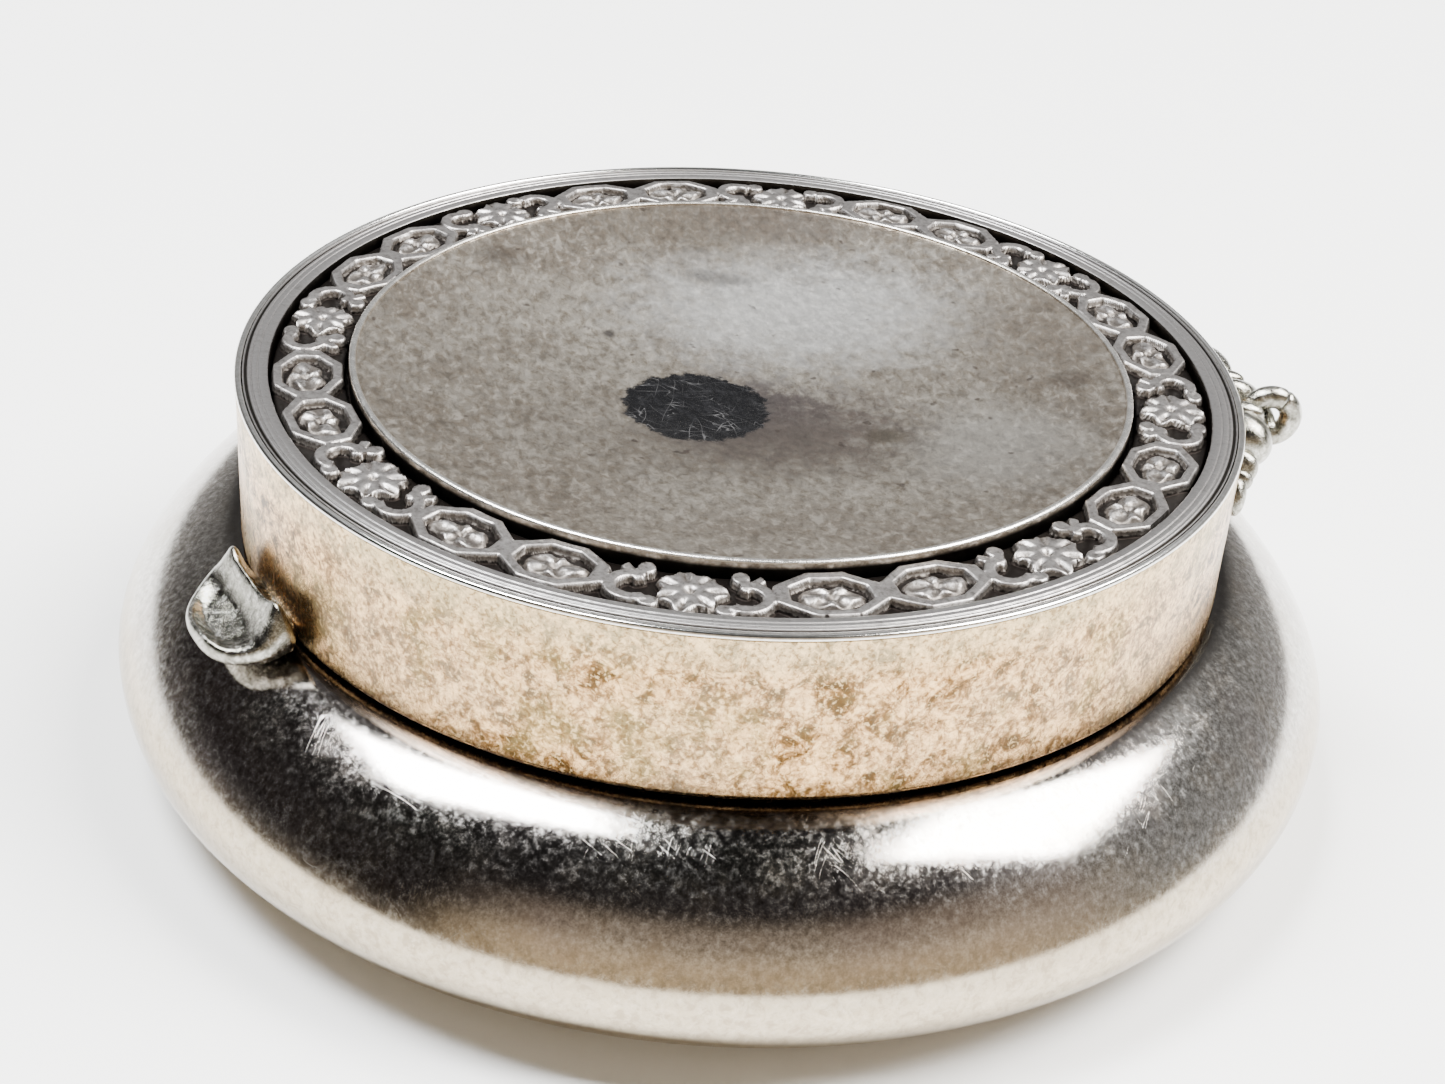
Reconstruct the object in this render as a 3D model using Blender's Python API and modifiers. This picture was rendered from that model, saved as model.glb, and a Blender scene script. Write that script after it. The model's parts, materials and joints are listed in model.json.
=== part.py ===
"""Round silver pill box: a bulging bowl and a hinged, straight-walled lid.

The origin is the middle of the resting face, +Z is up, -Y is the front with the thumb-piece
and +Y is the back with the hinge. Lengths are metres, written as millimetres times MM.
"""
import math

import bmesh
import bpy
from mathutils import Matrix, Vector

MM = 0.001
TURN_STEPS = 48
GAP = 0.04 * MM

# Lid
LID_RADIUS = 20.0 * MM
LID_TOP = 16.0 * MM
WALL_HEIGHT = 6.8 * MM
WALL_THICKNESS = 0.5 * MM
WALL_BOTTOM = LID_TOP - WALL_HEIGHT
RIM_WIDTH = 1.3 * MM
RIM_DEPTH = 0.5 * MM
RIM_WIRE = 0.3 * MM
CHANNEL_DEPTH = 1.0 * MM
PLATE_THICKNESS = 0.3 * MM
PLATE_HOLE = 14.6 * MM
DISH_RADIUS = 15.6 * MM
DISH_RISE = 0.2 * MM
DISH_DEPTH = 1.8 * MM
DISH_THICKNESS = 0.45 * MM

# Bowl
BOWL_RADIUS = 25.1 * MM
EQUATOR = 4.2 * MM
BASE_RADIUS = 15.5 * MM
SHEET = 0.6 * MM
SEAT_GAP = 0.15 * MM
SEAT_RADIUS = 20.3 * MM
SHOULDER_TOP = WALL_BOTTOM - SEAT_GAP
SHOULDER_POWER = 1.5
BELLY_POWER = 2.6
COLLAR_GAP = 0.2 * MM
COLLAR_THICKNESS = 0.4 * MM
COLLAR_TOP = 11.6 * MM
COLLAR_BOTTOM = 7.6 * MM
COLLAR_BEAD = 0.1 * MM
COLLAR_RADIUS = LID_RADIUS - WALL_THICKNESS - COLLAR_GAP

# Hinge, across the back
PIVOT = Vector((0.0, 21.15 * MM, 9.75 * MM))
BARREL_RADIUS = 0.75 * MM
BORE_RADIUS = 0.4 * MM
PIN_RADIUS = 0.35 * MM
PIN_OVERHANG = 0.15 * MM
KNUCKLE_LENGTH = 3.0 * MM
KNUCKLE_GAP = 0.05 * MM

# Gallery of links and leaves in the lid's channel
GALLERY_INNER = 15.75 * MM
GALLERY_OUTER = 18.6 * MM
GALLERY_FLOOR = 0.25 * MM
GALLERY_TOP = LID_TOP - 0.1 * MM
GALLERY_UNITS = 8
GALLERY_PHASE = math.radians(31.0)
LINK_STEP = math.radians(6.35)
LINK_RADIAL = 1.34 * MM
LINK_ALONG = 1.82 * MM
LINK_BAND = 0.5 * MM
LEAF_RADIUS = 1.1 * MM
SCROLL_RADIUS = 0.55 * MM

# Thumb-piece on the front of the lid wall
THUMB_WIDTH = 6.2 * MM
THUMB_REACH = 3.2 * MM
THUMB_HEIGHT = WALL_BOTTOM + 1.2 * MM
THUMB_DROOP = 1.1 * MM
THUMB_THICKNESS = 1.9 * MM

# Ring lug on the lid wall and the jump ring on its bar
LUG_ANGLE = math.radians(59.0)
LUG_HEIGHT = 14.8 * MM
LUG_HALF_LENGTH = 4.7 * MM
LUG_SLOT = 1.0 * MM
LUG_DROOP = 0.7 * MM
BAR_RADIUS = 0.22 * MM
BAR_STANDOFF = 1.33 * MM
BAR_HEIGHT = LUG_HEIGHT + 0.3 * MM
RING_RADIUS = 0.86 * MM
RING_WIRE = 0.46 * MM
RING_DROP = math.radians(50.0)
RING_SLACK = 0.03 * MM


def clear_scene():
    for obj in list(bpy.data.objects):
        bpy.data.objects.remove(obj, do_unlink=True)


def collection(name):
    made = bpy.data.collections.new(name)
    bpy.context.scene.collection.children.link(made)
    return made


def metal(name, colour, roughness, metallic=1.0):
    material = bpy.data.materials.new(name)
    material.use_nodes = True
    shader = material.node_tree.nodes["Principled BSDF"]
    shader.inputs["Base Color"].default_value = (*colour, 1.0)
    shader.inputs["Roughness"].default_value = roughness
    shader.inputs["Metallic"].default_value = metallic
    return material


def put(name, mesh, material, group):
    obj = bpy.data.objects.new(name, mesh)
    if material:
        mesh.materials.clear()
        mesh.materials.append(material)
    group.objects.link(obj)
    return obj


def mesh_from(bm, name):
    mesh = bpy.data.meshes.new(name)
    bmesh.ops.recalc_face_normals(bm, faces=bm.faces[:])
    bm.to_mesh(mesh)
    bm.free()
    return mesh


def turned(name, profile, material, group, closed=True):
    """Turn a profile of (radius, height) points, outer side downwards, about the box's axis."""
    bm = bmesh.new()
    points = [bm.verts.new((radius, 0.0, height)) for radius, height in profile]
    for start, end in zip(points, points[1:]):
        bm.edges.new((start, end))
    if closed:
        bm.edges.new((points[-1], points[0]))
    mesh = bpy.data.meshes.new(name)
    bm.to_mesh(mesh)
    bm.free()
    obj = put(name, mesh, material, group)
    screw = obj.modifiers.new("Turn", "SCREW")
    screw.axis = "Z"
    screw.angle = 2 * math.pi
    screw.steps = TURN_STEPS
    screw.render_steps = TURN_STEPS
    screw.use_merge_vertices = True
    screw.merge_threshold = 1e-6
    screw.use_smooth_shade = True
    return obj


def quarter(inner, outer, low, high, power, count):
    """A superellipse quarter from (inner, high) out and over to (outer, low)."""
    points = []
    for step in range(count + 1):
        angle = math.pi / 2 * (1 - step / count)
        across = math.cos(angle) ** (2 / power)
        up = math.sin(angle) ** (2 / power)
        points.append((inner + (outer - inner) * across, low + (high - low) * up))
    return points


def box_cage(name, cuts, shape, levels, material, group):
    """A cube cut into cells along x, y and z, each corner moved by shape, then subdivided."""
    bm = bmesh.new()
    bmesh.ops.create_cube(bm, size=2.0)
    for axis, count in enumerate(cuts):
        normal = Vector((0.0, 0.0, 0.0))
        normal[axis] = 1.0
        for step in range(1, count):
            place = normal * (2 * step / count - 1)
            geometry = bm.verts[:] + bm.edges[:] + bm.faces[:]
            bmesh.ops.bisect_plane(bm, geom=geometry, plane_co=place, plane_no=normal, dist=1e-6)
    for vert in bm.verts:
        vert.co = shape(*vert.co)
    obj = put(name, mesh_from(bm, name), material, group)
    subdivision = obj.modifiers.new("Round", "SUBSURF")
    subdivision.levels = levels
    subdivision.render_levels = levels
    return obj


def rod(name, middle, direction, length, radius, sides, material, group):
    """A solid round bar about its middle, along direction."""
    bm = bmesh.new()
    bmesh.ops.create_cone(bm, cap_ends=True, segments=sides, radius1=radius, radius2=radius,
                          depth=length)
    obj = put(name, mesh_from(bm, name), material, group)
    obj.rotation_mode = "QUATERNION"
    obj.rotation_quaternion = Vector((0.0, 0.0, 1.0)).rotation_difference(direction)
    obj.location = middle
    return obj


def block(name, low, high, material, group):
    bm = bmesh.new()
    bmesh.ops.create_cube(bm, size=1.0)
    size = Vector(high) - Vector(low)
    middle = (Vector(high) + Vector(low)) / 2
    bmesh.ops.transform(bm, matrix=Matrix.Translation(middle) @ Matrix.Diagonal((*size, 1.0)),
                        verts=bm.verts[:])
    return put(name, mesh_from(bm, name), material, group)


def boolean(obj, other, operation):
    modifier = obj.modifiers.new(operation.title(), "BOOLEAN")
    modifier.operation = operation
    modifier.solver = "EXACT"
    modifier.object = other


def hide(obj):
    obj.hide_render = True
    obj.display_type = "WIRE"
    return obj


def around(angle, radius, height):
    return Vector((radius * math.cos(angle), radius * math.sin(angle), height))


# The bowl

def belly(radius, depth, count):
    """The lower half of the bowl's section, from its flat base out and up to the widest line."""
    points = quarter(BASE_RADIUS, radius, 0.0, depth, BELLY_POWER, count)
    return [(across, EQUATOR - down) for across, down in points]


def shoulder(radius, top, low, count):
    return quarter(SEAT_RADIUS, radius, low, top, SHOULDER_POWER, count)


def make_bowl(silver, parts):
    """Two pressings that meet at the widest line."""
    inside = belly(BOWL_RADIUS - SHEET, EQUATOR - SHEET, 6)
    outside = belly(BOWL_RADIUS, EQUATOR, 8)
    profile = [(0.0, SHEET), *inside, *reversed(outside), (0.0, 0.0)]
    turned("bowl_bottom", profile, silver, parts, closed=False)
    seam = EQUATOR + GAP
    outside = shoulder(BOWL_RADIUS, SHOULDER_TOP, seam, 8)
    inside = shoulder(BOWL_RADIUS - SHEET, SHOULDER_TOP - SHEET, seam, 6)
    mouth = COLLAR_RADIUS + GAP
    profile = [(mouth, SHOULDER_TOP), *outside, *reversed(inside), (mouth, SHOULDER_TOP - SHEET)]
    turned("bowl_shoulder", profile, silver, parts)


def make_collar(silver, parts):
    """The inner band that the lid fits over, with a snap bead near its top."""
    outer, inner = COLLAR_RADIUS, COLLAR_RADIUS - COLLAR_THICKNESS
    bead = [(outer - COLLAR_BEAD, COLLAR_TOP), (outer, COLLAR_TOP - 0.3 * MM),
            (outer + COLLAR_BEAD, COLLAR_TOP - 0.7 * MM), (outer, COLLAR_TOP - 1.1 * MM)]
    turned("collar", [*bead, (outer, COLLAR_BOTTOM), (inner, COLLAR_BOTTOM), (inner, COLLAR_TOP)],
           silver, parts)


# The lid

def make_lid_shell(satin, polished, dark, parts):
    """The wall, the rim ring with its edge wire, and the plate that closes the channel."""
    rim_bottom = LID_TOP - RIM_DEPTH
    inner = LID_RADIUS - WALL_THICKNESS
    hem = 0.25 * MM
    wall = [(LID_RADIUS, rim_bottom - GAP), (LID_RADIUS, WALL_BOTTOM + hem),
            (LID_RADIUS - hem / 2, WALL_BOTTOM), (inner, WALL_BOTTOM), (inner, rim_bottom - GAP)]
    lid = [turned("lid_wall", wall, satin, parts)]
    floor = LID_TOP - CHANNEL_DEPTH
    rim_inner = LID_RADIUS - RIM_WIDTH
    rim_outer = LID_RADIUS - RIM_WIRE - GAP
    rim = [(rim_inner, LID_TOP), (rim_outer, LID_TOP), (rim_outer, rim_bottom),
           (inner - 2 * GAP, rim_bottom), (inner - 2 * GAP, floor), (rim_inner, floor)]
    lid.append(turned("rim_ring", rim, satin, parts))
    wire_inner = LID_RADIUS - RIM_WIRE
    wire = [(wire_inner, LID_TOP), (wire_inner + RIM_WIRE / 2, LID_TOP + 0.04 * MM),
            (LID_RADIUS, LID_TOP - RIM_WIRE / 2), (LID_RADIUS, rim_bottom),
            (wire_inner, rim_bottom)]
    lid.append(turned("rim_wire", wire, polished, parts))
    top = floor - GAP
    plate = [(PLATE_HOLE, top), (inner - GAP, top), (inner - GAP, top - PLATE_THICKNESS),
             (PLATE_HOLE, top - PLATE_THICKNESS)]
    lid.append(turned("channel_plate", plate, dark, parts))
    return lid


def make_dish(satin, parts):
    """The hollowed centre disc, with a turned-down edge that stands on the channel plate."""
    centre = LID_TOP + DISH_RISE - DISH_DEPTH
    reach = DISH_RADIUS - 0.3 * MM
    foot = LID_TOP - CHANNEL_DEPTH

    def bowl(radius):
        return centre + DISH_DEPTH * (radius / reach) ** 2

    rings = [reach * step / 5 for step in range(6)]
    inner = DISH_RADIUS - DISH_THICKNESS
    top = [(radius, bowl(radius)) for radius in rings]
    edge = [(DISH_RADIUS - 0.1 * MM, LID_TOP + DISH_RISE), (DISH_RADIUS, LID_TOP), (DISH_RADIUS, foot),
            (inner, foot), (inner, bowl(inner) - 1.2 * DISH_THICKNESS)]
    under = [(radius, bowl(radius) - DISH_THICKNESS) for radius in reversed(rings[:-1])]
    return turned("centre_dish", top + edge + under, satin, parts, closed=False)


def gallery_outlines():
    """Outlines as lists of (angle, radius): two links and a leaf between scrolls in each unit."""
    middle = (GALLERY_INNER + GALLERY_OUTER) / 2

    def oval(centre, along, radial, count, lobes=0, depth=0.0):
        points = []
        for step in range(count):
            turn = 2 * math.pi * step / count
            size = 1 + depth * math.cos(lobes * turn)
            across = math.copysign(abs(math.cos(turn)) ** 0.8, math.cos(turn)) * along * size
            out = math.copysign(abs(math.sin(turn)) ** 0.8, math.sin(turn)) * radial * size
            points.append((centre + across / middle, middle + out))
        return points

    outlines = []
    for unit in range(GALLERY_UNITS):
        start = GALLERY_PHASE + 2 * math.pi * unit / GALLERY_UNITS
        for side in (-0.5, 0.5):
            link = start + side * 2 * LINK_STEP
            outlines.append(oval(link, LINK_ALONG, LINK_RADIAL, 16))
            outlines.append(oval(link, LINK_ALONG - LINK_BAND, LINK_RADIAL - LINK_BAND, 12))
        leaf = start + math.pi / GALLERY_UNITS
        outlines.append(oval(leaf, LEAF_RADIUS, LEAF_RADIUS * 1.1, 14, lobes=7, depth=0.1))
        for side in (-1, 1):
            place = leaf + side * 1.95 * MM / middle
            outlines.append(oval(place, SCROLL_RADIUS, LINK_RADIAL * 0.8, 10))
    return outlines


def make_gallery(silver, parts, cutters):
    """A cast ring: a thin floor with the raised links, leaves and scrolls joined to it."""
    floor = LID_TOP - CHANNEL_DEPTH
    ring = [(GALLERY_INNER, floor + GALLERY_FLOOR), (GALLERY_OUTER, floor + GALLERY_FLOOR),
            (GALLERY_OUTER, floor), (GALLERY_INNER, floor)]
    gallery = turned("gallery_ring", ring, silver, parts)
    curve = bpy.data.curves.new("gallery_relief", "CURVE")
    curve.dimensions = "2D"
    curve.fill_mode = "BOTH"
    low = floor + GALLERY_FLOOR / 2
    curve.extrude = (GALLERY_TOP - low) / 2
    for outline in gallery_outlines():
        spline = curve.splines.new("POLY")
        spline.points.add(len(outline) - 1)
        for point, (angle, radius) in zip(spline.points, outline):
            point.co = (radius * math.cos(angle), radius * math.sin(angle), 0.0, 1.0)
        spline.use_cyclic_u = True
    drawn = bpy.data.objects.new("gallery_relief", curve)
    cutters.objects.link(drawn)
    drawn.location.z = (GALLERY_TOP + low) / 2
    bpy.context.view_layer.update()
    mesh = bpy.data.meshes.new_from_object(drawn.evaluated_get(bpy.context.evaluated_depsgraph_get()))
    relief = put("gallery_relief_mesh", mesh, None, cutters)
    relief.matrix_world = drawn.matrix_world
    bpy.data.objects.remove(drawn, do_unlink=True)
    bm = bmesh.new()
    bm.from_mesh(mesh)
    bmesh.ops.remove_doubles(bm, verts=bm.verts[:], dist=1e-6)
    bm.to_mesh(mesh)
    bm.free()
    boolean(gallery, hide(relief), "UNION")
    return gallery


def make_thumb_piece(polished, parts):
    """A cast tongue: widest at its root, hollowed on top, with a raised lip at its tip."""

    def shape(side, out, up):
        reach = (out + 1) / 2
        x = side * THUMB_WIDTH / 2 * (1 - 0.22 * reach ** 2)
        y = -(LID_RADIUS + GAP) - THUMB_REACH * reach * (1 - 0.2 * side ** 2)
        hollow = 0.35 * MM * (1 - side ** 2) * (1 - abs(out)) if up > 0 else 0.0
        half = THUMB_THICKNESS / 2 * (1 - 0.3 * reach)
        z = THUMB_HEIGHT - THUMB_DROOP * reach + up * half - hollow
        return x, y, z

    return box_cage("thumb_piece", (4, 3, 2), shape, 1, polished, parts)


def lug_foot(name, side, polished, group):
    """One cast foot of the ring lug, thick at the slot and tapering along the wall."""
    length = LUG_HALF_LENGTH - LUG_SLOT / 2

    def shape(along, out, up):
        run = (along + 1) / 2
        taper = 1 - run
        angle = LUG_ANGLE + side * (LUG_SLOT / 2 + length * run) / LID_RADIUS
        depth = 0.4 * MM + 1.4 * MM * taper
        half = 0.5 * MM + 0.7 * MM * taper
        radius = LID_RADIUS + GAP + depth * (out + 1) / 2
        return around(angle, radius, LUG_HEIGHT - LUG_DROOP * run ** 2 + up * half)

    return box_cage(name, (4, 1, 1), shape, 1, polished, group)


def make_lug(polished, parts, cutters):
    """Two feet joined by a bar that stands off the wall, so that a ring can hang on it."""
    lug = lug_foot("ring_lug", 1, polished, parts)
    other = lug_foot("ring_lug_foot", -1, None, cutters)
    radial = around(LUG_ANGLE, 1.0, 0.0)
    middle = around(LUG_ANGLE, LID_RADIUS + BAR_STANDOFF, BAR_HEIGHT)
    tangent = Vector((-radial.y, radial.x, 0.0))
    bar = rod("ring_lug_bar", middle, tangent, LUG_SLOT + 1.4 * MM, BAR_RADIUS, 12, None, cutters)
    boolean(lug, hide(bar), "UNION")
    boolean(lug, hide(other), "UNION")
    return lug


def make_jump_ring(polished, parts):
    """The loose ring round the lug's bar, hung from an empty on the bar's axis."""
    axis = bpy.data.objects.new("jump_ring_axis", None)
    parts.objects.link(axis)
    axis.location = around(LUG_ANGLE, LID_RADIUS + BAR_STANDOFF, BAR_HEIGHT)
    axis.rotation_euler.z = LUG_ANGLE
    bpy.ops.mesh.primitive_torus_add(major_radius=RING_RADIUS, minor_radius=RING_WIRE,
                                     major_segments=24, minor_segments=8)
    ring = bpy.context.object
    ring.name = "jump_ring"
    ring.data.materials.append(polished)
    for owner in list(ring.users_collection):
        owner.objects.unlink(ring)
    parts.objects.link(ring)
    ring.parent = axis
    reach = RING_RADIUS - RING_WIRE - BAR_RADIUS - RING_SLACK
    ring.location = (reach * math.cos(RING_DROP), 0.0, -reach * math.sin(RING_DROP))
    ring.rotation_euler.x = math.pi / 2
    return axis


# The hinge

def make_hinge(silver, satin, parts, cutters):
    """Three knuckles on a pin, the bearer on the bowl and the leaf on the lid wall."""
    across = Vector((1.0, 0.0, 0.0))
    total = 3 * KNUCKLE_LENGTH + 2 * KNUCKLE_GAP
    bore = hide(rod("hinge_bore", PIVOT, across, 2 * total, BORE_RADIUS, 16, None, cutters))
    barrel = hide(rod("hinge_barrel", PIVOT, across, 2 * total, BARREL_RADIUS + GAP, 16, None, cutters))
    knuckles = {}
    for name, place in (("base_knuckle_left", -1), ("lid_knuckle", 0), ("base_knuckle_right", 1)):
        middle = PIVOT + across * place * (KNUCKLE_LENGTH + KNUCKLE_GAP)
        knuckles[name] = rod(name, middle, across, KNUCKLE_LENGTH, BARREL_RADIUS, 16, silver, parts)
        boolean(knuckles[name], bore, "DIFFERENCE")
    rod("hinge_pin", PIVOT, across, total + 2 * PIN_OVERHANG, PIN_RADIUS, 16, silver, parts)
    edge = shoulder(BOWL_RADIUS + GAP, SHOULDER_TOP + GAP, EQUATOR, 8)
    solid = [(0.0, SHOULDER_TOP + GAP), *edge, (BOWL_RADIUS + GAP, 0.0), (0.0, 0.0)]
    seat = hide(turned("bearer_seat", solid, None, cutters, closed=False))
    bearer = block("hinge_bearer", (-total / 2, PIVOT.y + 0.15 * MM, EQUATOR + 2 * MM),
                   (total / 2, PIVOT.y + 1.35 * MM, PIVOT.z - 0.3 * MM), silver, parts)
    boolean(bearer, seat, "DIFFERENCE")
    boolean(bearer, barrel, "DIFFERENCE")
    half = KNUCKLE_LENGTH / 2
    leaf = block("lid_leaf", (-half, LID_RADIUS + GAP, PIVOT.z - 0.45 * MM),
                 (half, PIVOT.y - 0.3 * MM, PIVOT.z + 1.4 * MM), satin, parts)
    boolean(leaf, barrel, "DIFFERENCE")
    return [knuckles["lid_knuckle"], leaf]


def hang_lid(pieces, parts):
    """Parent the lid's pieces to an empty on the hinge's axis."""
    axis = bpy.data.objects.new("lid_axis", None)
    parts.objects.link(axis)
    axis.location = PIVOT
    bpy.context.view_layer.update()
    for piece in pieces:
        piece.parent = axis
        piece.matrix_parent_inverse = axis.matrix_world.inverted()


def main():
    clear_scene()
    parts = collection("pill_box")
    cutters = collection("pill_box_cutters")
    polished = metal("polished_silver", (0.78, 0.76, 0.73), 0.12)
    satin = metal("satin_silver", (0.72, 0.66, 0.59), 0.4)
    worn = metal("worn_silver", (0.62, 0.6, 0.58), 0.35)
    dark = metal("oxidised_silver", (0.05, 0.045, 0.04), 0.5)
    make_bowl(polished, parts)
    make_collar(polished, parts)
    lid = make_lid_shell(satin, polished, dark, parts)
    lid.append(make_dish(worn, parts))
    lid.append(make_gallery(worn, parts, cutters))
    lid.append(make_thumb_piece(polished, parts))
    lid.append(make_lug(polished, parts, cutters))
    lid += make_hinge(polished, satin, parts, cutters)
    lid.append(make_jump_ring(polished, parts))
    hang_lid(lid, parts)


main()
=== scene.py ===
"""The looks of a round silver pill box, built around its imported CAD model.

Lengths are metres, written as millimetres times MM. +Z is up, -Y is the thumb-piece's side and
+Y is the hinge's side, as in the CAD model.
"""
import json
import math

import bmesh
import bpy
import numpy as np
from mathutils import Matrix, Vector


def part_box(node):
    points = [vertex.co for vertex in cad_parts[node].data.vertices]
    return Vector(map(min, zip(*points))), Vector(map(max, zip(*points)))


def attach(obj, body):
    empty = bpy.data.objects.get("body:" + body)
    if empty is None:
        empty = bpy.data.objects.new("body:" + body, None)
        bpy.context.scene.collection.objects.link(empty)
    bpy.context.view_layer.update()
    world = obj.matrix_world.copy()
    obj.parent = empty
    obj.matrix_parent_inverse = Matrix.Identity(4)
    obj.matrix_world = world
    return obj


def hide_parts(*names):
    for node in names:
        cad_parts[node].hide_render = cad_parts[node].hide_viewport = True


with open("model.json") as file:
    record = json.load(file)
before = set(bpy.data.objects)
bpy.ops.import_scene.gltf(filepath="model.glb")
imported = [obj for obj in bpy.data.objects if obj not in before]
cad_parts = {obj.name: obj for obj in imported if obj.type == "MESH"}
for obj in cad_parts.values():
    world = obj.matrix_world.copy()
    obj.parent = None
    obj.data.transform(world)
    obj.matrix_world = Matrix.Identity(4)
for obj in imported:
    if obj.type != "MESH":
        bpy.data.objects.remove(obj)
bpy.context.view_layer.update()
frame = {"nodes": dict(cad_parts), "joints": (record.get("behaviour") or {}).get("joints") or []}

MM = 0.001
SEED = 11
TURN_STEPS = 224
FINE_STEPS = 288

# Driving dimensions, read from the CAD model
LID_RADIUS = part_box("lid_wall")[1].x
WALL_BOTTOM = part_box("lid_wall")[0].z
LID_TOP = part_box("rim_ring")[1].z
RIM_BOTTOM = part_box("rim_wire")[0].z
CHANNEL_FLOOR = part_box("gallery_ring")[0].z
GALLERY_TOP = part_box("gallery_ring")[1].z
DISH_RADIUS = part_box("centre_dish")[1].x
DISH_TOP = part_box("centre_dish")[1].z
BOWL_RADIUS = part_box("bowl_bottom")[1].x
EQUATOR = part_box("bowl_bottom")[1].z
SHOULDER_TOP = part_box("bowl_shoulder")[1].z
COLLAR_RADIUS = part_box("collar")[1].x
COLLAR_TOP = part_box("collar")[1].z
COLLAR_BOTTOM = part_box("collar")[0].z
JOINTS = {joint["name"]: joint for joint in frame["joints"]}
HINGE = Vector(JOINTS["lid_hinge"]["pos_m"])
BAR = Vector(JOINTS["ring_swing"]["pos_m"])
LUG_ANGLE = math.atan2(BAR.y, BAR.x)

WALL_THICKNESS = 0.5 * MM
RIM_WIDTH = 1.3 * MM
SHEET = 0.6 * MM
BASE_RADIUS = 15.5 * MM
SEAT_RADIUS = 20.15 * MM
SHOULDER_POWER = 1.5
BELLY_POWER = 2.6
DISH_DEPTH = 1.8 * MM
GALLERY_INNER = 15.75 * MM
GALLERY_OUTER = 18.6 * MM
GALLERY_UNITS = 8
RELIEF_DEPTH = 0.42 * MM
RING_WIRE = 0.46 * MM
BAR_RADIUS = 0.22 * MM
PLATE_HOLE = 14.6 * MM
BARREL_RADIUS = 0.75 * MM
BORE_RADIUS = 0.4 * MM
PIN_RADIUS = 0.35 * MM
FLOOR_HALF = 3.0
FLOOR_GAP = 0.02 * MM

# The dish's dark spot, then its soft marks: place, half sizes across the turned axes and along them,
# strength and tint, in millimetres. The first two, pale marks are partly wear and partly a painted reflection
MARKS_TURN = math.radians(57.5)
SPOT = (0.3, -2.2)
DISH_MARKS_AND_SHEEN = (
    ((-5.0, 5.6), 9.0, 6.0, 0.7, (0.88, 0.875, 0.86)),
    ((9.0, 6.0), 4.5, 5.0, 0.35, (0.64, 0.63, 0.60)),
    ((3.4, 0.2), 6.5, 4.6, 0.75, (0.11, 0.085, 0.085)),
    ((1.4, -1.2), 4.4, 4.2, 0.6, (0.09, 0.075, 0.085)),
    ((-8.8, 3.9), 2.3, 0.7, 0.6, (0.14, 0.13, 0.125)),
    ((5.8, 3.2), 1.1, 0.9, 0.7, (0.10, 0.085, 0.055)),
    ((6.3, 11.7), 1.2, 1.0, 0.6, (0.10, 0.08, 0.065)),
    ((-13.0, -4.4), 1.2, 1.2, 0.6, (0.10, 0.08, 0.065)),
    ((-6.4, -2.6), 0.4, 0.4, 0.8, (0.05, 0.045, 0.045)),
    ((-11.5, 8.5), 6.0, 2.2, 0.5, (0.17, 0.135, 0.115)),
    ((-13.4, 3.6), 8.0, 3.0, 0.5, (0.19, 0.155, 0.12)),
    ((3.8, -2.6), 9.5, 4.6, 0.55, (0.17, 0.14, 0.115)),
    ((2.5, 12.6), 4.5, 6.5, 0.4, (0.22, 0.18, 0.145)),
)

# Grooves in the rim: place across it, width and depth in millimetres
RIM_GROOVES = ((0.40, 0.07, 0.03), (0.66, 0.08, 0.04), (0.88, 0.16, 0.10))

# The lug's lumps in millimetres: place along the wall, half length, depth, half height, drop, lean
LUG_PARTS = (
    (-1.75, 1.15, 1.35, 1.15, 0.0, 0.1),
    (-0.95, 0.4, 0.95, 0.5, -0.72, 0.0),
    (-3.2, 0.48, 0.8, 0.6, 0.5, 0.4),
    (-3.8, 0.28, 0.6, 0.42, 0.78, 0.4),
    (-4.4, 0.5, 0.42, 0.55, 1.2, 0.7),
    (1.3, 0.75, 1.35, 1.0, -0.1, 0.1),
    (2.2, 0.38, 0.8, 0.4, -0.6, 0.0),
    (3.7, 1.5, 0.62, 0.62, -0.5, 0.05),
)

GALLERY_PHASE = math.radians(31.0)

# Camera, as seen from the middle of the lid's top
CAMERA_AZIMUTH = math.radians(57.5)
CAMERA_ELEVATION = math.radians(26.79)
CAMERA_DISTANCE = 4.686 * LID_RADIUS
CAMERA_PITCH = math.radians(-4.49)
CAMERA_YAW = math.radians(-0.16)
CAMERA_ROLL = math.radians(4.22)
CAMERA_LENS = 58.07
SENSOR_WIDTH = 36.0
CAMERA_SIDE = math.degrees(CAMERA_AZIMUTH)

# Surround brightness by the sine of elevation, from the horizon up: at the sides, before the box, behind it
WORLD_SIDE = ((0.0, (0.42, 0.40, 0.38)), (0.12, (0.16, 0.15, 0.145)), (0.28, (0.04, 0.036, 0.036)),
              (1.0, (0.02, 0.02, 0.02)))
WORLD_FRONT = ((0.0, (1.0, 0.86, 0.66)), (0.32, (1.0, 0.82, 0.60)), (0.56, (0.46, 0.375, 0.295)),
               (0.74, (0.05, 0.045, 0.045)), (1.0, (0.03, 0.03, 0.03)))
WORLD_BEHIND = ((0.0, (0.62, 0.61, 0.60)), (0.25, (0.42, 0.415, 0.41)), (0.46, (0.33, 0.33, 0.33)),
                (0.66, (0.80, 0.81, 0.82)), (0.82, (0.16, 0.16, 0.16)), (1.0, (0.04, 0.04, 0.04)))
# Each with the turn of its middle from straight ahead, and where it starts and is full
WORLD_FACES = ((WORLD_FRONT, math.radians(206.0), 0.2, 0.6), (WORLD_BEHIND, math.radians(-34.0), -0.15, 0.6))


# Meshes

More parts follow.
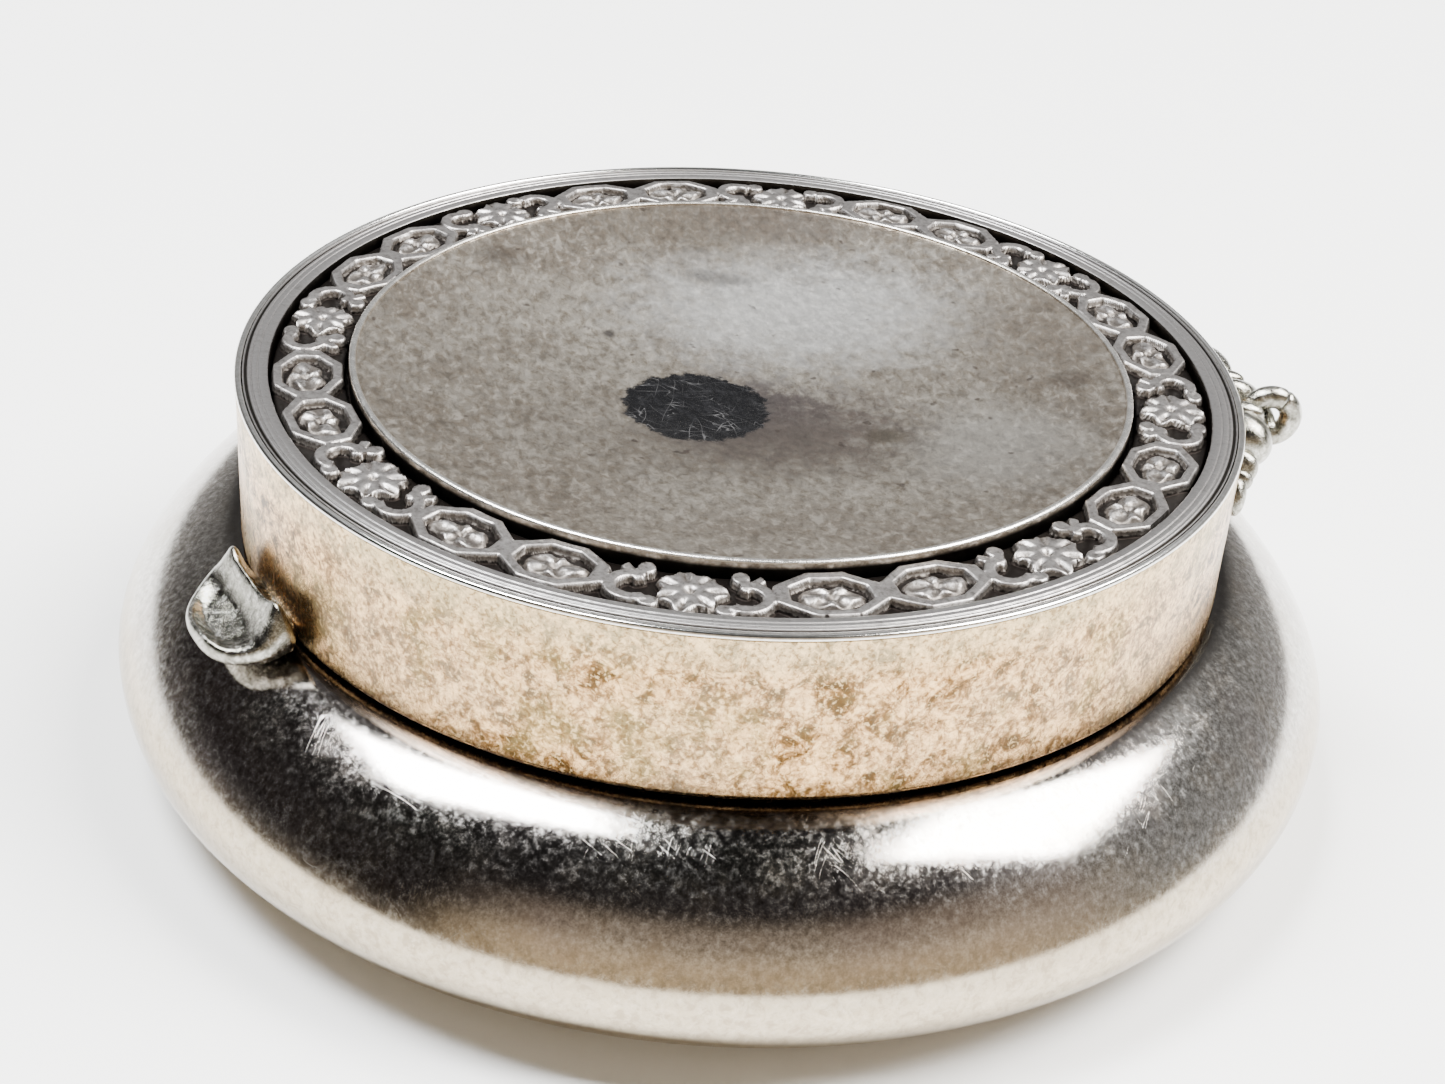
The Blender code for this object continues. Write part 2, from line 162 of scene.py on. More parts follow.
def add_object(name, verts, faces, sharp=40.0):
    mesh = bpy.data.meshes.new(name)
    mesh.from_pydata([tuple(v) for v in verts], [], faces)
    mesh.update()
    mesh.shade_smooth()
    mesh.set_sharp_from_angle(angle=math.radians(sharp))
    obj = bpy.data.objects.new(name, mesh)
    bpy.context.scene.collection.objects.link(obj)
    return obj


def soften(profile, radius, closed, count=4):
    """Round the corners of a profile of (radius, height) points."""
    points = [np.array(point, float) for point in profile]
    result = []
    for i, corner in enumerate(points):
        if not closed and i in (0, len(points) - 1):
            result.append(tuple(corner))
            continue
        before, after = points[i - 1] - corner, points[(i + 1) % len(points)] - corner
        lengths = np.linalg.norm(before), np.linalg.norm(after)
        turn = np.degrees(np.arccos(np.clip(before @ after / (lengths[0] * lengths[1]), -1, 1)))
        if turn > 150:
            result.append(tuple(corner))
            continue
        reach = min(radius, 0.45 * lengths[0], 0.45 * lengths[1])
        start, end = corner + before / lengths[0] * reach, corner + after / lengths[1] * reach
        for t in np.linspace(0, 1, count):
            result.append(tuple((1 - t) ** 2 * start + 2 * t * (1 - t) * corner + t ** 2 * end))
    return result


def turned(name, profile, closed=True, steps=TURN_STEPS, sharp=40.0, wobble=None):
    """Turn a profile, outer side downwards, about the box's axis."""
    verts, rings = [], []
    for radius, height in profile:
        if radius < 1e-7:
            rings.append([len(verts)])
            verts.append((0.0, 0.0, height))
            continue
        rings.append(list(range(len(verts), len(verts) + steps)))
        for k in range(steps):
            angle = 2 * math.pi * k / steps
            verts.append((radius * math.cos(angle), radius * math.sin(angle), height))
    pairs = list(zip(rings, rings[1:]))
    if closed:
        pairs.append((rings[-1], rings[0]))
    faces = []
    for upper, lower in pairs:
        for k in range(steps):
            after = (k + 1) % steps
            if len(upper) == 1 and len(lower) == 1:
                continue
            if len(upper) == 1:
                faces.append((upper[0], lower[k], lower[after]))
            elif len(lower) == 1:
                faces.append((upper[k], lower[0], upper[after]))
            else:
                faces.append((upper[k], lower[k], lower[after], upper[after]))
    verts = np.array(verts)
    if wobble:
        verts = wobble(verts)
    return add_object(name, verts, faces, sharp)


def quarter(inner, outer, low, high, power, count):
    """A superellipse quarter from (inner, high) out and over to (outer, low)."""
    angles = np.pi / 2 * (1 - np.linspace(0, 1, count + 1))
    across = np.abs(np.cos(angles)) ** (2 / power)
    up = np.abs(np.sin(angles)) ** (2 / power)
    across[0], up[-1] = 0.0, 0.0
    return list(zip(inner + (outer - inner) * across, low + (high - low) * up))


def waves(points, scale, seed, octaves=3):
    """Smooth repeatable noise, about -1 to 1, from a few plane waves."""
    rng = np.random.default_rng(seed)
    total = np.zeros(len(points))
    for octave in range(octaves):
        for _ in range(6):
            direction = rng.normal(size=3)
            direction *= 2 ** octave / scale / np.linalg.norm(direction)
            total += np.sin(points @ direction * 2 * np.pi + rng.uniform(0, 2 * np.pi)) / 2 ** octave
    return total / 6


def smooth_step(value, low, high):
    t = np.clip((value - low) / (high - low), 0, 1)
    return t * t * (3 - 2 * t)


def joined(name, pieces):
    """One mesh object from lists of (verts, faces)."""
    verts, faces, start = [], [], 0
    for points, cells in pieces:
        verts.append(np.asarray(points))
        faces += [tuple(i + start for i in cell) for cell in cells]
        start += len(points)
    return add_object(name, np.concatenate(verts), faces)


def sphere_cells(around, up):
    """Unit sphere points as (angle, sine of height, cosine of height), with the faces that join them."""
    rows = [(math.pi * (j / up - 0.5)) for j in range(1, up)]
    points = [(2 * math.pi * i / around, math.sin(row), math.cos(row)) for row in rows for i in range(around)]
    low, high = len(points), len(points) + 1
    points += [(0.0, -1.0, 0.0), (0.0, 1.0, 0.0)]
    cells = []
    for i in range(around):
        after = (i + 1) % around
        cells.append((low, after, i))
        last = (up - 2) * around
        cells.append((high, last + i, last + after))
        for j in range(up - 2):
            cells.append((j * around + i, j * around + after, (j + 1) * around + after, (j + 1) * around + i))
    return np.array(points), cells


def signed_power(value, power):
    return np.sign(value) * np.abs(value) ** power


def pebble(place, half, power=1.0, lumps=None, around=40, up=24):
    """A rounded body with half sizes (along, out, up), its points passed on to place."""
    points, cells = sphere_cells(around, up)
    angle, rise, level = points.T
    x = signed_power(np.cos(angle), power) * level
    y = signed_power(np.sin(angle), power) * level
    local = np.stack([x, y, rise], 1)
    if lumps:
        local = lumps(local)
    local = local * np.array(half)
    return place(local), cells


def line(obj, finish, is_lined):
    """Give the faces for which is_lined(normal, middle) holds a finish of their own."""
    obj.data.materials.append(finish)
    for polygon in obj.data.polygons:
        if is_lined(polygon.normal, polygon.center):
            polygon.material_index = 1


def faces_down(normal, middle):
    return normal.z < -0.2


def in_bowl(normal, middle):
    return normal.xy.dot(middle.xy.normalized()) < -0.05 or (normal.z > 0.8 and middle.z < EQUATOR)


def on_wall(middle_angle, height):
    """Places (along, out, up) points against the lid wall, bent round it and cut off at it."""
    def place(local):
        along, out, up = local.T
        angle = middle_angle + along / LID_RADIUS
        radius = LID_RADIUS + np.where(out > 0, out, 0.04 * out)
        z = height + up
        return np.stack([radius * np.cos(angle), radius * np.sin(angle), z], 1)
    return place


# Materials

class Finish:
    """A node material in millimetre coordinates fixed to the piece."""

    def __init__(self, name, roughness, metallic=1.0):
        self.material = bpy.data.materials.new(name)
        self.material.use_nodes = True
        self.nodes = self.material.node_tree.nodes
        self.links = self.material.node_tree.links
        self.shader = self.nodes["Principled BSDF"]
        self.shader.inputs["Metallic"].default_value = metallic
        self.shader.inputs["Roughness"].default_value = roughness
        coords = self.nodes.new("ShaderNodeTexCoord")
        scale = self.nodes.new("ShaderNodeVectorMath")
        scale.operation = "SCALE"
        scale.inputs["Scale"].default_value = 1 / MM
        self.links.new(coords.outputs["Object"], scale.inputs[0])
        self.mm = scale.outputs[0]

    def plug(self, value, socket):
        if isinstance(value, bpy.types.NodeSocket):
            self.links.new(value, socket)
        else:
            socket.default_value = value

    def noise(self, scale, detail=4.0, rough=0.5, distortion=0.0, stretch=None, shift=0.0, turn=0.0):
        node = self.nodes.new("ShaderNodeTexNoise")
        node.inputs["Scale"].default_value = scale
        node.inputs["Detail"].default_value = detail
        node.inputs["Roughness"].default_value = rough
        node.inputs["Distortion"].default_value = distortion
        mapping = self.nodes.new("ShaderNodeMapping")
        mapping.vector_type = "TEXTURE"
        mapping.inputs["Location"].default_value = (shift, shift * 0.7, shift * 1.3)
        mapping.inputs["Rotation"].default_value = (0.0, 0.0, math.radians(turn))
        if stretch:
            mapping.inputs["Scale"].default_value = stretch
        self.links.new(self.mm, mapping.inputs["Vector"])
        self.links.new(mapping.outputs[0], node.inputs["Vector"])
        return node.outputs["Fac"]

    def ramp(self, value, *stops):
        node = self.nodes.new("ShaderNodeValToRGB")
        elements = node.color_ramp.elements
        for _ in range(len(stops) - 2):
            elements.new(0.5)
        for element, (position, colour) in zip(elements, stops):
            element.position = position
            element.color = (*colour, 1.0)
        self.links.new(value, node.inputs["Fac"])
        return node.outputs["Color"]

    def fit(self, value, low, high, out_low=0.0, out_high=1.0):
        node = self.nodes.new("ShaderNodeMapRange")
        node.interpolation_type = "SMOOTHSTEP"
        names = ("From Min", "From Max", "To Min", "To Max")
        for name, number in zip(names, (low, high, out_low, out_high)):
            node.inputs[name].default_value = number
        self.links.new(value, node.inputs["Value"])
        return node.outputs["Result"]

    def math(self, operation, a, b):
        node = self.nodes.new("ShaderNodeMath")
        node.operation = operation
        self.plug(a, node.inputs[0])
        self.plug(b, node.inputs[1])
        return node.outputs[0]

    def mix(self, share, a, b):
        node = self.nodes.new("ShaderNodeMix")
        node.data_type = "RGBA"
        self.plug(share, node.inputs["Factor"])
        for value, name in ((a, "A"), (b, "B")):
            socket = [s for s in node.inputs if s.name == name and s.type == "RGBA"][0]
            self.plug((*value, 1.0) if isinstance(value, tuple) else value, socket)
        return [s for s in node.outputs if s.type == "RGBA"][0]

    def axis(self, name):
        node = self.nodes.new("ShaderNodeSeparateXYZ")
        self.links.new(self.mm, node.inputs[0])
        return node.outputs[name]

    def distance(self, point, squash=(1.0, 1.0, 0.0), turn=0.0):
        """Distance in millimetres from a point, squashed along axes that are turned from +X."""
        near = self.nodes.new("ShaderNodeVectorMath")
        near.operation = "SUBTRACT"
        near.inputs[1].default_value = point
        self.links.new(self.mm, near.inputs[0])
        scaled = self.nodes.new("ShaderNodeVectorMath")
        scaled.operation = "MULTIPLY"
        scaled.inputs[1].default_value = squash
        turned_back = self.nodes.new("ShaderNodeVectorRotate")
        turned_back.rotation_type = "Z_AXIS"
        turned_back.inputs["Angle"].default_value = -turn
        self.links.new(near.outputs[0], turned_back.inputs["Vector"])
        self.links.new(turned_back.outputs[0], scaled.inputs[0])
        length = self.nodes.new("ShaderNodeVectorMath")
        length.operation = "LENGTH"
        self.links.new(scaled.outputs[0], length.inputs[0])
        return length.outputs["Value"]

    def scratches(self, length, gap, turn, width=0.02):
        """Long thin streaks, turned from +X, where a stretched noise crosses its middle."""
        field = self.noise(1.0, 1.0, 0.4, 0.3, (length, gap, length), turn * 0.37, turn)
        away = self.math("ABSOLUTE", self.math("SUBTRACT", field, 0.5), 0.0)
        return self.fit(away, 0.0, width, 1.0, 0.0)

    def finish(self, colour, roughness=None, height=None, strength=0.2, depth=0.02):
        self.plug(colour, self.shader.inputs["Base Color"])
        if roughness is not None:
            self.plug(roughness, self.shader.inputs["Roughness"])
        if height is not None:
            bump = self.nodes.new("ShaderNodeBump")
            bump.inputs["Strength"].default_value = strength
            bump.inputs["Distance"].default_value = depth * MM
            self.links.new(height, bump.inputs["Height"])
            self.links.new(bump.outputs["Normal"], self.shader.inputs["Normal"])
        return self.material


def bowl_silver():
    f = Finish("bowl_silver", 0.12)
    grain = f.noise(3.6, 7.0, 0.8)
    haze = f.noise(0.7, 5.0, 0.65, shift=2.0)
    cloud = f.noise(0.13, 3.0, 0.5, 0.4, shift=4.0)
    colour = f.ramp(grain, (0.34, (0.26, 0.24, 0.21)), (0.5, (0.52, 0.49, 0.45)), (0.66, (0.80, 0.78, 0.74)))
    colour = f.mix(f.fit(haze, 0.45, 0.7, 0.0, 0.5), colour, (0.40, 0.34, 0.27))
    colour = f.mix(f.fit(cloud, 0.48, 0.66, 0.0, 0.35), colour, (0.42, 0.36, 0.36))
    # Painted shade: the shoulder is darkened just outside the lid's wall, near black where the lid's hem
    # meets the bowl
    seat_shade_radius = f.distance((0.0, 0.0, 0.0))
    colour = f.mix(f.fit(seat_shade_radius, 20.1, 21.8, 0.7, 0.0), colour, (0.15, 0.13, 0.11))
    colour = f.mix(f.fit(seat_shade_radius, 20.2, 20.9, 0.85, 0.0), colour, (0.04, 0.034, 0.03))
    # From the equator down the bowl is tinted warm, a painted reflection of the floor, and darkened towards
    # the foot, painted shade
    band = f.fit(f.axis("Z"), 6.4, 4.9)
    wear = f.noise(2.2, 7.0, 0.72, 0.5, shift=6.0)
    colour = f.mix(f.math("MULTIPLY", band, 0.72), colour, (0.50, 0.40, 0.26))
    colour = f.mix(f.fit(f.axis("Z"), 4.3, 1.8, 0.0, 0.75), colour, (0.30, 0.25, 0.18))
    colour = f.mix(f.math("MULTIPLY", band, f.fit(wear, 0.48, 0.62, 0.0, 0.4)), colour, (0.20, 0.155, 0.10))
    colour = f.mix(f.math("MULTIPLY", band, f.fit(wear, 0.46, 0.36, 0.0, 0.2)), colour, (0.78, 0.67, 0.48))
    rough = f.math("ADD", f.fit(grain, 0.42, 0.68, 0.06, 0.19), f.fit(haze, 0.4, 0.7, 0.0, 0.07))
    lines = f.math("MAXIMUM", f.scratches(3.0, 0.35, 25.0, 0.004), f.scratches(2.5, 0.3, -50.0, 0.004))
    lines = f.math("MULTIPLY", lines, f.fit(f.noise(0.6, 2.0, 0.5, shift=9.0), 0.5, 0.62))
    return f.finish(colour, rough, f.math("SUBTRACT", grain, f.math("MULTIPLY", lines, 0.2)), 0.35, 0.008)


def wall_silver():
    f = Finish("wall_silver", 0.34)
    mottle = f.noise(1.1, 9.0, 0.70, 0.6)
    grain = f.noise(5.2, 2.5, 0.6, 0.5, shift=2.0)
    broad = f.noise(0.15, 3.0, 0.5, 0.3, shift=7.0)
    olive = f.noise(0.32, 5.0, 0.6, 0.5, shift=13.0)
    colour = f.ramp(mottle, (0.41, (0.06, 0.032, 0.010)), (0.46, (0.22, 0.115, 0.04)),
                    (0.51, (0.47, 0.28, 0.125)), (0.61, (0.77, 0.475, 0.21)))
    veins = f.math("MAXIMUM", f.scratches(0.95, 0.6, 10.0, 0.022), f.scratches(1.5, 1.0, 80.0, 0.014))
    colour = f.mix(f.math("MULTIPLY", veins, 0.5), colour, (0.10, 0.06, 0.025))
    colour = f.mix(f.fit(broad, 0.45, 0.65, 0.0, 0.3), colour, (0.52, 0.39, 0.25))
    colour = f.mix(f.fit(olive, 0.50, 0.66, 0.0, 0.55), colour, (0.27, 0.20, 0.08))
    # Paler and warmer towards the top of the wall: a painted reflection
    colour = f.mix(f.fit(f.axis("Z"), 13.8, 15.6, 0.0, 0.5), colour, (0.62, 0.50, 0.29))
    colour = f.mix(f.fit(grain, 0.50, 0.66, 0.0, 0.62), colour, (0.11, 0.056, 0.018))
    colour = f.mix(f.fit(grain, 0.48, 0.34, 0.0, 0.45), colour, (0.99, 0.70, 0.36))
    rough = f.fit(mottle, 0.35, 0.65, 0.36, 0.20)
    return f.finish(colour, rough, f.noise(3.0, 8.0, 0.8), 0.5, 0.02)


def rim_silver():
    f = Finish("rim_silver", 0.34)
    fine = f.noise(2.2, 7.0, 0.7, 0.6)
    colour = f.ramp(fine, (0.3, (0.20, 0.19, 0.185)), (0.5, (0.37, 0.355, 0.35)), (0.7, (0.54, 0.52, 0.51)))
    groove = f.fit(f.axis("Z"), LID_TOP / MM - 0.08, LID_TOP / MM - 0.03, 1.0, 0.0)
    colour = f.mix(groove, colour, (0.02, 0.017, 0.014))
    return f.finish(colour, f.fit(fine, 0.3, 0.7, 0.42, 0.30), fine, 0.3, 0.02)


def edge_silver():
    f = Finish("edge_silver", 0.3)
    fine = f.noise(3.0, 6.0, 0.7)
    bright = f.ramp(fine, (0.3, (0.74, 0.72, 0.68)), (0.6, (0.95, 0.94, 0.91)))
    dull = f.ramp(fine, (0.3, (0.40, 0.32, 0.20)), (0.7, (0.70, 0.62, 0.46)))
    top = f.fit(f.axis("Z"), (LID_TOP - 0.16 * MM) / MM, (LID_TOP - 0.08 * MM) / MM)
    return f.finish(f.mix(top, dull, bright), f.fit(top, 0.0, 1.0, 0.34, 0.14), fine, 0.3, 0.01)


def relief_silver(low, high):
    """Grey worn tops over a blackened ground, told apart by height in millimetres."""
    f = Finish("relief_silver", 0.3)
    fine = f.noise(4.5, 6.0, 0.72, 0.2)
    level = f.math("ADD", f.fit(f.axis("Z"), low, high), f.fit(fine, 0.3, 0.7, -0.14, 0.14))
    top = f.ramp(fine, (0.3, (0.17, 0.158, 0.153)), (0.5, (0.33, 0.31, 0.30)), (0.7, (0.50, 0.48, 0.47)))
    middle = f.ramp(fine, (0.3, (0.05, 0.043, 0.037)), (0.7, (0.20, 0.18, 0.165)))
    colour = f.mix(f.fit(level, 0.22, 0.46), (0.010, 0.008, 0.007), middle)
    colour = f.mix(f.fit(level, 0.72, 0.96), colour, top)
    rough = f.fit(level, 0.5, 0.95, 0.5, 0.38)
    return f.finish(colour, rough, f.noise(5.0, 6.0, 0.7), 0.4, 0.02)


def ground_black():
    f = Finish("ground_black", 0.55)
    fine = f.noise(4.0, 6.0, 0.7)
    colour = f.ramp(fine, (0.35, (0.012, 0.010, 0.009)), (0.7, (0.05, 0.042, 0.036)))
    return f.finish(colour, f.fit(fine, 0.3, 0.7, 0.65, 0.45), fine, 0.4, 0.03)


def dish_silver():
    """Satin grey with brown tarnish, paler wear, a dark scratched spot and a few smaller marks, the first two
    of them pale, partly wear and partly a painted reflection.
    """
    f = Finish("dish_silver", 0.4)
    fine = f.noise(2.8, 8.0, 0.75, 0.2, (1.5, 1.0, 1.0))
    patch = f.noise(0.28, 6.0, 0.65, 0.5, shift=3.0)
    away = f.distance((0.0, 0.0, 0.0))
    colour = f.ramp(fine, (0.37, (0.21, 0.182, 0.143)), (0.5, (0.46, 0.415, 0.352)),
                    (0.63, (0.71, 0.655, 0.57)))
    tan = f.math("ADD", f.fit(away, 7.0, 15.0, 0.0, 0.35), f.fit(patch, 0.42, 0.62, 0.0, 0.45))
    colour = f.mix(tan, colour, (0.27, 0.225, 0.18))
    ragged = f.fit(f.noise(1.2, 6.0, 0.7, 0.3, shift=5.0), 0.3, 0.7, -1.0, 1.0)
    grain = f.noise(2.6, 5.0, 0.7, 0.5, (1.0, 1.8, 1.0), 15.0, 65.0)
    colour = f.mix(f.fit(grain, 0.50, 0.64, 0.0, 0.55), colour, (0.13, 0.105, 0.08))
    colour = f.mix(f.fit(grain, 0.50, 0.36, 0.0, 0.4), colour, (0.90, 0.84, 0.75))
    # The first two marks are pale: partly wear and partly a painted reflection
    for place, across, depth, strength, tint in DISH_MARKS_AND_SHEEN:
        spread = f.distance((*place, 0.0), (1.0 / across, 1.0 / depth, 0.0), MARKS_TURN)
        spread = f.math("ADD", spread, f.math("MULTIPLY", ragged, 0.22))
        colour = f.mix(f.fit(spread, 0.25, 1.1, strength, 0.0), colour, tint)
    specks = f.fit(f.noise(1.3, 2.0, 0.4, 0.0, shift=11.0), 0.70, 0.76, 0.0, 0.7)
    colour = f.mix(specks, colour, (0.08, 0.06, 0.05))
    spread = f.distance((*SPOT, 0.0), (1.0, 1.0, 0.0), MARKS_TURN)
    inside = f.fit(f.math("ADD", spread, f.math("MULTIPLY", ragged, 0.22)), 2.75, 3.0, 1.0, 0.0)
    lines = f.math("MAXIMUM", f.scratches(3.0, 0.45, 20.0, 0.012), f.scratches(2.6, 0.5, 75.0, 0.010))
    lines = f.math("MAXIMUM", lines, f.scratches(2.8, 0.55, -35.0, 0.010))
    dark = f.mix(f.fit(fine, 0.45, 0.68), (0.014, 0.014, 0.018), (0.085, 0.085, 0.095))
    lines = f.math("MULTIPLY", lines, f.fit(f.noise(0.7, 2.0, 0.5, shift=21.0), 0.45, 0.62, 0.1, 1.0))
    dark = f.mix(f.math("MULTIPLY", lines, 0.85), dark, (0.62, 0.61, 0.62))
    colour = f.mix(inside, colour, dark)
    # Painted shade: the dish's outer side is painted near black where it stands in the gap beside the border
    skirt = f.math("MULTIPLY", f.fit(away, 15.42, 15.5), f.fit(f.axis("Z"), 15.85, 16.05, 1.0, 0.0))
    colour = f.mix(skirt, colour, (0.014, 0.012, 0.010))
    edge = f.math("MULTIPLY", f.fit(away, 15.30, 15.40), f.fit(f.axis("Z"), 16.10, 16.15))
    colour = f.mix(edge, colour, (0.86, 0.84, 0.80))
    rough = f.fit(fine, 0.3, 0.7, 0.42, 0.28)
    rough = f.math("SUBTRACT", rough, f.math("MULTIPLY", f.math("MAXIMUM", inside, edge), 0.10))
    height = f.math("SUBTRACT", f.noise(3.2, 8.0, 0.78, 0.2), f.math("MULTIPLY", inside, 0.4))
    return f.finish(colour, rough, height, 0.4, 0.025)


def cast_silver():
    f = Finish("cast_silver", 0.14)
    fine = f.noise(3.0, 7.0, 0.75, 0.3)
    broad = f.noise(0.8, 4.0, 0.6, 0.3, shift=6.0)
    colour = f.ramp(fine, (0.34, (0.09, 0.085, 0.07)), (0.5, (0.31, 0.30, 0.26)), (0.66, (0.70, 0.68, 0.63)))
    colour = f.mix(f.fit(broad, 0.45, 0.65, 0.0, 0.5), colour, (0.20, 0.195, 0.155))
    return f.finish(colour, f.fit(fine, 0.35, 0.7, 0.12, 0.30), fine, 0.5, 0.05)


def inside_silver():
    f = Finish("inside_silver", 0.26)
    fine = f.noise(0.8, 6.0, 0.6, 0.4)
    colour = f.ramp(fine, (0.3, (0.62, 0.57, 0.50)), (0.6, (0.82, 0.79, 0.74)))
    return f.finish(colour, f.fit(fine, 0.3, 0.7, 0.34, 0.2), f.noise(4.0, 6.0, 0.7), 0.2, 0.01)


# The bowl

def make_bowl(finish, lining):
    belly = quarter(BASE_RADIUS, BOWL_RADIUS, 0.0, EQUATOR, BELLY_POWER, 28)
    shoulder = quarter(SEAT_RADIUS, BOWL_RADIUS, EQUATOR, SHOULDER_TOP, SHOULDER_POWER, 36)
    inner_radius = BOWL_RADIUS - SHEET
    inner_belly = quarter(BASE_RADIUS, inner_radius, 0.0, EQUATOR - SHEET, BELLY_POWER, 20)
    inner_shoulder = quarter(SEAT_RADIUS, inner_radius, EQUATOR, SHOULDER_TOP - SHEET, SHOULDER_POWER, 20)
    mouth = COLLAR_RADIUS + 0.02 * MM
    outside = shoulder + [(r, EQUATOR - h) for r, h in reversed(belly)][1:]
    inside = [(r, EQUATOR - h) for r, h in inner_belly] + list(reversed(inner_shoulder))[1:]
    lip = [(mouth, SHOULDER_TOP - SHEET), (mouth, SHOULDER_TOP)]
    profile = [(0.0, SHEET)] + inside + lip + outside + [(0.0, 0.0)]

    def wobble(verts):
        swell = waves(verts, 26 * MM, SEED) * 0.03 * MM
        radial = verts[:, :2] / np.maximum(np.linalg.norm(verts[:, :2], axis=1), 1e-6)[:, None]
        share = smooth_step(verts[:, 2], 0.4 * MM, 2 * MM)
        share = share * smooth_step(-verts[:, 2], -SHOULDER_TOP, -SHOULDER_TOP + 1.5 * MM)
        verts[:, :2] += radial * (swell * share)[:, None]
        return verts

    bowl = turned("bowl", profile, closed=False, wobble=wobble, steps=FINE_STEPS)
    bowl.data.materials.append(finish)
    line(bowl, lining, in_bowl)
    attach(bowl, "base")
    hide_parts("bowl_bottom", "bowl_shoulder")


def make_collar(finish):
    outer, inner = COLLAR_RADIUS - 0.1 * MM, COLLAR_RADIUS - 0.5 * MM
    profile = [(outer - 0.1 * MM, COLLAR_TOP), (outer, COLLAR_TOP - 0.3 * MM)]
    for step in range(7):
        bulge = math.sin(math.pi * step / 6)
        profile.append((outer + 0.1 * MM * bulge, COLLAR_TOP - (0.4 + 0.6 * step / 6) * MM))
    profile += [(outer, COLLAR_BOTTOM), (inner, COLLAR_BOTTOM), (inner, COLLAR_TOP)]
    band = turned("collar_band", soften(profile, 0.08 * MM, True))
    band.data.materials.append(finish)
    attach(band, "base")
    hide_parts("collar")


# The lid

def make_wall(finish):
    inner = LID_RADIUS - WALL_THICKNESS
    top = LID_TOP - 0.14 * MM
    step_in = LID_RADIUS - 0.28 * MM
    under_rim = RIM_BOTTOM - 0.02 * MM
    profile = [(LID_RADIUS - 0.02 * MM, top)]
    for step in range(1, 12):
        profile.append((LID_RADIUS - 0.02 * MM, top + (WALL_BOTTOM + 0.2 * MM - top) * step / 12))
    profile += [(LID_RADIUS, WALL_BOTTOM + 0.2 * MM), (LID_RADIUS - 0.14 * MM, WALL_BOTTOM)]
    profile += [(inner, WALL_BOTTOM), (inner, under_rim), (step_in, under_rim), (step_in, top)]

    def wobble(verts):
        radial = verts[:, :2] / np.linalg.norm(verts[:, :2], axis=1)[:, None]
        middle = smooth_step(verts[:, 2], WALL_BOTTOM, WALL_BOTTOM + 2 * MM)
        middle = middle * smooth_step(-verts[:, 2], -top, -top + MM)
        verts[:, :2] -= radial * (np.abs(waves(verts, 14 * MM, SEED + 1)) * middle * 0.04 * MM)[:, None]
        return verts

    wall = turned("wall_band", soften(profile, 0.07 * MM, True), steps=FINE_STEPS, wobble=wobble)
    wall.data.materials.append(finish)
    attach(wall, "lid")
    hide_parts("lid_wall")


def make_rim(finish, edge_finish, ground, lining):
    """The flat ring with its grooves, the bright edge outside it and the blackened floor inside it."""
    rim_inner, rim_outer = LID_RADIUS - RIM_WIDTH, LID_RADIUS - 0.32 * MM
    flange = LID_RADIUS - WALL_THICKNESS - 0.08 * MM
    profile = [(rim_inner, LID_TOP - 0.04 * MM)]
    for place, width, depth in RIM_GROOVES:
        middle = rim_inner + (rim_outer - rim_inner) * place
        for offset, share in ((-1.0, 0.0), (-0.4, 1.0), (0.4, 1.0), (1.0, 0.0)):
            profile.append((middle + offset * width / 2 * MM, LID_TOP - depth * share * MM))
    profile += [(rim_outer, LID_TOP), (rim_outer, RIM_BOTTOM), (flange, RIM_BOTTOM), (flange, CHANNEL_FLOOR),
                (rim_inner, CHANNEL_FLOOR)]
    rim = turned("rim", soften(profile, 0.06 * MM, True, 3), sharp=60.0)
    rim.data.materials.append(finish)
    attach(rim, "lid")
    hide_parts("rim_ring")
    wire_bottom = LID_TOP - 0.13 * MM
    profile = [(LID_RADIUS - 0.29 * MM, wire_bottom)]
    for step in range(11):
        angle = math.pi * (1 - step / 10)
        radius = LID_RADIUS - 0.145 * MM + 0.145 * MM * math.cos(angle)
        profile.append((radius, LID_TOP - 0.1 * MM + 0.14 * MM * math.sin(angle)))
    profile.append((LID_RADIUS, wire_bottom))
    wire = turned("rim_edge", profile, steps=FINE_STEPS)
    wire.data.materials.append(edge_finish)
    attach(wire, "lid")
    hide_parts("rim_wire")
    low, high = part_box("channel_plate")
    profile = [(PLATE_HOLE, high.z), (high.x, high.z), (high.x, low.z), (PLATE_HOLE, low.z)]
    plate = turned("channel_floor", soften(profile, 0.05 * MM, True))
    plate.data.materials.append(ground)
    line(plate, lining, faces_down)
    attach(plate, "lid")
    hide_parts("channel_plate")


def solid(distance, edge=0.12):
    """1 inside a shape and 0 outside it, from a signed distance in millimetres."""
    return smooth_step(-distance, -edge / 2, edge / 2)


def oval(x, y, half_x, half_y, power):
    reach = (np.abs(x / half_x) ** power + np.abs(y / half_y) ** power) ** (1 / power)
    return (reach - 1) * min(half_x, half_y)


